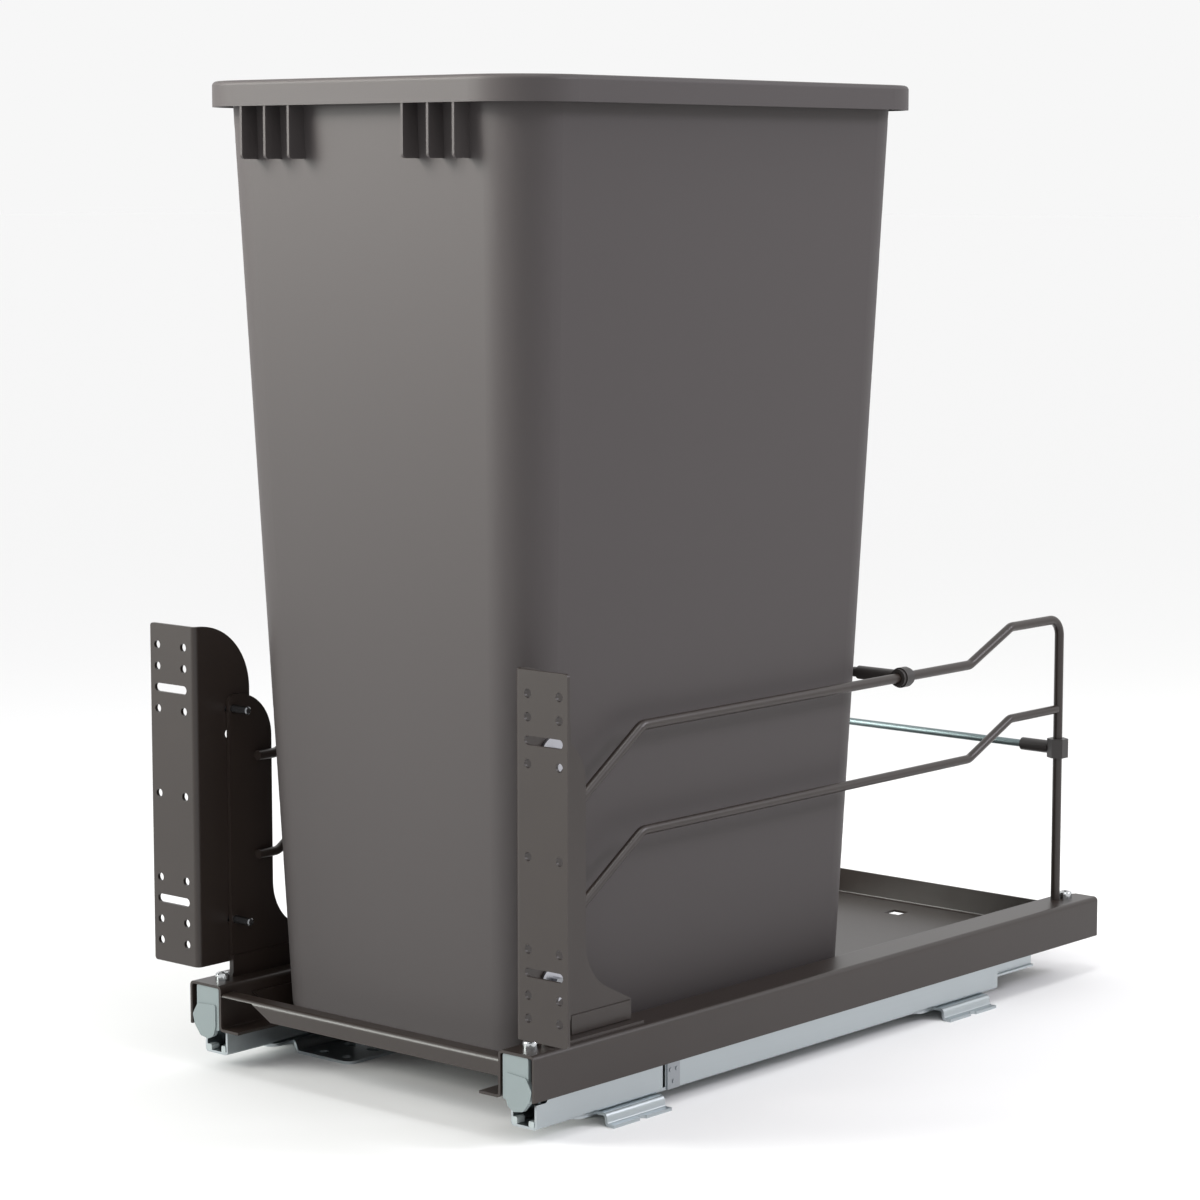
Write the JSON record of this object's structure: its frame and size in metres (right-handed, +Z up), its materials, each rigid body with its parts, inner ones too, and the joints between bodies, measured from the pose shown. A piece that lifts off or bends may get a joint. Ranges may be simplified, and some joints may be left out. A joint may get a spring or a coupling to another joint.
{
  "type": "pull out bin frame",
  "caption": "Floor mounted pull out frame on full extension slides, with wire side rails, door brackets and a tall tapered waste bin.",
  "frame": {"origin": "middle of the overall width and depth, on the cabinet floor under the hat brackets", "axes": "+X to the right as seen from the front, +Y to the back of the cabinet, +Z up; the frame pulls out along -Y"},
  "size_m": [0.3304, 0.5598, 0.58],
  "materials": {
    "powder_coat": "satin dark brown grey powder coat",
    "door_coat": "satin dark brown grey powder coat",
    "zinc_sheet": "zinc plated rolled steel sheet",
    "zinc_rod": "zinc plated steel rod",
    "roller_steel": "ground steel",
    "bright_screws": "bright plated steel",
    "washer_zinc": "zinc plated steel",
    "rod_steel": "ground steel",
    "white_plastic": "natural white acetal",
    "stop_plastic": "light grey moulded plastic",
    "dark_plastic": "dark moulded plastic",
    "bin_plastic": "fine textured warm dark grey moulded plastic"
  },
  "bodies": {
    "cabinet_side": {"cabinet_member_left": "zinc_sheet", "cabinet_member_right": "zinc_sheet", "member_clip_left": "zinc_sheet", "member_clip_right": "zinc_sheet", "front_glides_left": "white_plastic", "front_glides_right": "white_plastic", "floor_bracket_front_left": "zinc_sheet", "floor_bracket_front_right": "zinc_sheet", "floor_bracket_rear_left": "zinc_sheet", "floor_bracket_rear_right": "zinc_sheet", "damper_body_left": "dark_plastic", "damper_body_right": "dark_plastic", "damper_rod_left": "rod_steel", "damper_rod_right": "rod_steel"},
    "lower_cages": {"lower_cage_left": "white_plastic", "lower_cage_right": "white_plastic", "lower_rollers_left": "roller_steel", "lower_rollers_right": "roller_steel"},
    "intermediates": {"intermediate_beam_left": "zinc_sheet", "intermediate_beam_right": "zinc_sheet"},
    "upper_cages": {"upper_cage_left": "white_plastic", "upper_cage_right": "white_plastic", "upper_rollers_left": "roller_steel", "upper_rollers_right": "roller_steel"},
    "frame": {"side_channel_left": "powder_coat", "side_channel_right": "powder_coat", "drawer_runner_left": "zinc_sheet", "drawer_runner_right": "zinc_sheet", "front_stop_left": "stop_plastic", "front_stop_right": "stop_plastic", "post_plate_left": "powder_coat", "post_plate_right": "powder_coat", "upper_wire_left": "powder_coat", "upper_wire_right": "powder_coat", "lower_wire_left": "powder_coat", "lower_wire_right": "powder_coat", "tray_pan": "powder_coat", "front_rail": "powder_coat", "closing_strikers": "powder_coat", "rear_rod": "zinc_rod", "rear_rod_sleeves": "dark_plastic", "rear_rod_clips": "dark_plastic", "channel_screws": "bright_screws", "bracket_bolts": "bright_screws", "bracket_washers": "washer_zinc"},
    "retainer": {"retainer_rod": "zinc_rod", "retainer_sleeves": "dark_plastic", "retainer_rings": "dark_plastic"},
    "left_door_bracket": {"door_bracket_left": "door_coat"},
    "right_door_bracket": {"door_bracket_right": "door_coat"},
    "bin": {"waste_bin": "bin_plastic"}
  },
  "joints": [
    {"name": "frame_slide", "type": "slide", "parent": "cabinet_side", "child": "frame", "axis": [0, -1, 0], "range_m": [0, 0.5]},
    {"name": "lower_cage_slide", "type": "slide", "parent": "cabinet_side", "child": "lower_cages", "axis": [0, -1, 0], "range_m": [0, 0.125]},
    {"name": "intermediate_slide", "type": "slide", "parent": "cabinet_side", "child": "intermediates", "axis": [0, -1, 0], "range_m": [0, 0.25]},
    {"name": "upper_cage_slide", "type": "slide", "parent": "cabinet_side", "child": "upper_cages", "axis": [0, -1, 0], "range_m": [0, 0.375]},
    {"name": "bin_lift", "type": "slide", "parent": "frame", "child": "bin", "axis": [0, 0, 1], "range_m": [0, 0.56]},
    {"name": "retainer_slide", "type": "slide", "parent": "frame", "child": "retainer", "axis": [0, 1, 0], "range_m": [-0.008, 0.055]},
    {"name": "left_door_bracket_adjust", "type": "slide", "parent": "frame", "child": "left_door_bracket", "axis": [0, 1, 0], "range_m": [-0.006, 0.0018]},
    {"name": "right_door_bracket_adjust", "type": "slide", "parent": "frame", "child": "right_door_bracket", "axis": [0, 1, 0], "range_m": [-0.006, 0.0018]}
  ],
  "couplings": [
    {"joint": "lower_cage_slide", "follows": "frame_slide", "ratio": 0.25},
    {"joint": "intermediate_slide", "follows": "frame_slide", "ratio": 0.5},
    {"joint": "upper_cage_slide", "follows": "frame_slide", "ratio": 0.75}
  ]
}
